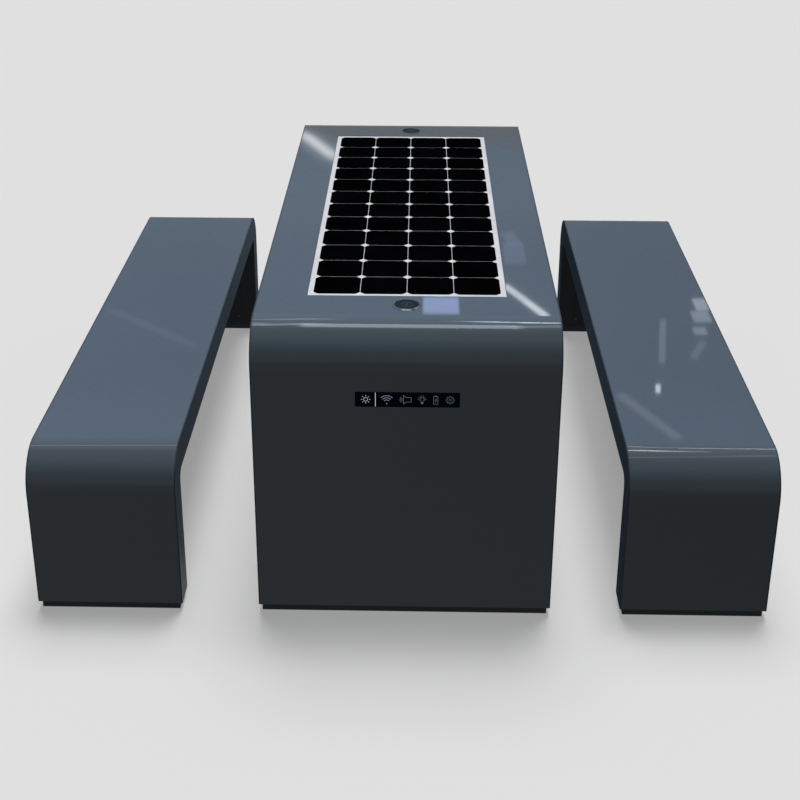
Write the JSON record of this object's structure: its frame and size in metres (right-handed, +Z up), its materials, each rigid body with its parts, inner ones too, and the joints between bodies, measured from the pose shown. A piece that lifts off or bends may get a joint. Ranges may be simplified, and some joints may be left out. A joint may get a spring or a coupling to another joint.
{
  "type": "solar charging table with benches",
  "caption": "Outdoor table with a flush solar panel, wireless charging pads and a status strip, flanked by matching benches; rounded sheet metal portals with serviceable legs.",
  "frame": {"origin": "on the ground, in the middle of the box round the table and both benches", "axes": "+X across the set towards the right bench, +Y along the table away from the display leg, +Z up"},
  "size_m": [1.776, 1.8, 0.753],
  "materials": {
    "slate_paint": "gloss slate grey powder coat",
    "cheek_paint": "gloss charcoal powder coat",
    "inner_paint": "satin charcoal powder coat",
    "plinth_black": "matt black paint",
    "frame_zinc": "galvanised steel",
    "solar_glass": "clear toughened front sheet",
    "solar_cell": "black silicon cells",
    "backsheet_white": "white backing board",
    "rubber_black": "black rubber",
    "black_plastic": "black moulded plastic",
    "charger_face": "dark blue-grey gloss",
    "seal_grey": "grey silicone joint",
    "copper": "copper wire",
    "display_glass": "black gloss lens",
    "board_green": "printed circuit board",
    "hinge_steel": "stainless steel",
    "lock_metal": "plated lock",
    "lamp_opal": "opal diffuser",
    "lamp_aluminium": "anodised channel",
    "equipment_grey": "cast housing",
    "battery_blue": "dark battery case"
  },
  "bodies": {
    "furniture": {"table_outer_sheet": "slate_paint", "table_left_cheek": "cheek_paint", "table_right_cheek": "cheek_paint", "table_inner_sheet": "inner_paint", "table_base_plates": "frame_zinc", "table_plinths": "plinth_black", "table_rails": "frame_zinc", "table_posts": "frame_zinc", "table_cross_tubes": "frame_zinc", "table_support_bars": "frame_zinc", "solar_glass": "solar_glass", "solar_cells": "solar_cell", "solar_backsheet": "backsheet_white", "solar_seal": "seal_grey", "solar_ledge": "frame_zinc", "solar_junction_box": "black_plastic", "charger_covers": "charger_face", "charger_rims": "slate_paint", "charger_cups": "black_plastic", "charger_coils": "copper", "display_lens": "display_glass", "display_case": "black_plastic", "display_board": "board_green", "door_seals": "rubber_black", "leg_hinge_leaves": "hinge_steel", "hinge_pins": "hinge_steel", "underside_cover": "inner_paint", "loudspeakers": "black_plastic", "speaker_grilles": "plinth_black", "lamp_channels": "lamp_aluminium", "lamp_diffusers": "lamp_opal", "equipment_plate": "frame_zinc", "charge_controller": "equipment_grey", "wifi_router": "black_plastic", "battery_tray": "frame_zinc", "battery_packs": "battery_blue", "internal_cables": "rubber_black", "anchor_covers": "inner_paint", "cover_screws": "hinge_steel", "left_bench_outer_sheet": "slate_paint", "left_bench_cheeks": "cheek_paint", "left_bench_inner_sheet": "inner_paint", "left_bench_frame": "frame_zinc", "left_bench_base_plates": "frame_zinc", "left_bench_plinths": "plinth_black", "right_bench_outer_sheet": "slate_paint", "right_bench_cheeks": "cheek_paint", "right_bench_inner_sheet": "inner_paint", "right_bench_frame": "frame_zinc", "right_bench_base_plates": "frame_zinc", "right_bench_plinths": "plinth_black"},
    "front_door": {"front_service_door": "inner_paint", "front_door_leaves": "hinge_steel", "front_lock_body": "lock_metal"},
    "rear_door": {"rear_service_door": "inner_paint", "rear_door_leaves": "hinge_steel", "rear_lock_body": "lock_metal"},
    "front_cam": {"front_lock_cam": "hinge_steel"},
    "rear_cam": {"rear_lock_cam": "hinge_steel"}
  },
  "joints": [
    {"name": "front_door_hinge", "type": "hinge", "parent": "furniture", "child": "front_door", "pos_m": [-0.191, -0.8207, 0.305], "axis": [0, 0, 1], "range_deg": [0, 110]},
    {"name": "rear_door_hinge", "type": "hinge", "parent": "furniture", "child": "rear_door", "pos_m": [0.209, 0.8207, 0.305], "axis": [0, 0, 1], "range_deg": [0, 110]},
    {"name": "front_lock_turn", "type": "hinge", "parent": "front_door", "child": "front_cam", "pos_m": [0.189, -0.83, 0.305], "axis": [0, 1, 0], "range_deg": [0, 90]},
    {"name": "rear_lock_turn", "type": "hinge", "parent": "rear_door", "child": "rear_cam", "pos_m": [-0.171, 0.83, 0.305], "axis": [0, -1, 0], "range_deg": [0, 90]}
  ]
}
